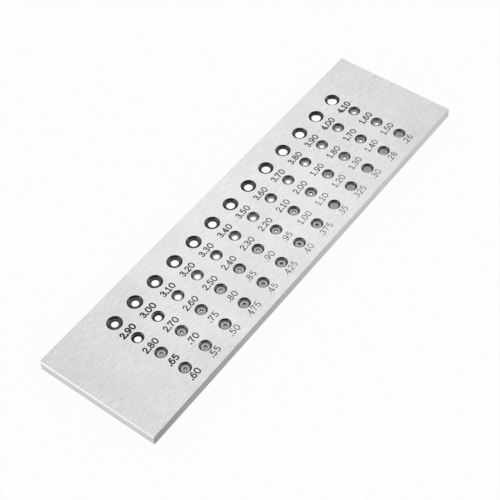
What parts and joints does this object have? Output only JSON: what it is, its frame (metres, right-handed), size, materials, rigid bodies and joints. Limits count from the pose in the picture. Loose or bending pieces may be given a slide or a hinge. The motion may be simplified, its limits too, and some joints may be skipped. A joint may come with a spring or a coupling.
{
  "type": "wire draw plate",
  "caption": "Flat ground steel plate with rows of countersunk holes, each holding a pressed-in carbide die of a marked bore, through which wire is pulled down to size.",
  "frame": {"origin": "on the back face, midway along and across the plate", "axes": "+X along the plate from the wide blank end, +Y towards the row of coarsest dies, +Z out of the numbered front face, the way the wire leaves"},
  "size_m": [0.1978, 0.0558, 0.0045],
  "materials": {
    "ground_steel": "surface ground",
    "carbide": "lapped"
  },
  "bodies": {
    "root": {"plate": "ground_steel", "die_0_26": "carbide", "die_0_28": "carbide", "die_0_30": "carbide", "die_0_325": "carbide", "die_0_35": "carbide", "die_0_375": "carbide", "die_0_40": "carbide", "die_0_425": "carbide", "die_0_45": "carbide", "die_0_475": "carbide", "die_0_50": "carbide", "die_0_55": "carbide", "die_0_60": "carbide", "die_0_65": "carbide", "die_0_70": "carbide", "die_0_75": "carbide", "die_0_80": "carbide", "die_0_85": "carbide", "die_0_90": "carbide", "die_0_95": "carbide", "die_1_00": "carbide", "die_1_10": "carbide", "die_1_20": "carbide", "die_1_30": "carbide", "die_1_40": "carbide", "die_1_50": "carbide", "die_1_60": "carbide", "die_1_70": "carbide", "die_1_80": "carbide", "die_1_90": "carbide", "die_2_00": "carbide", "die_2_10": "carbide", "die_2_20": "carbide", "die_2_30": "carbide", "die_2_40": "carbide", "die_2_50": "carbide", "die_2_60": "carbide", "die_2_70": "carbide", "die_2_80": "carbide", "die_2_90": "carbide", "die_3_00": "carbide", "die_3_10": "carbide", "die_3_20": "carbide", "die_3_30": "carbide", "die_3_40": "carbide", "die_3_50": "carbide", "die_3_60": "carbide", "die_3_70": "carbide", "die_3_80": "carbide", "die_3_90": "carbide", "die_4_00": "carbide", "die_4_10": "carbide"}
  },
  "joints": []
}
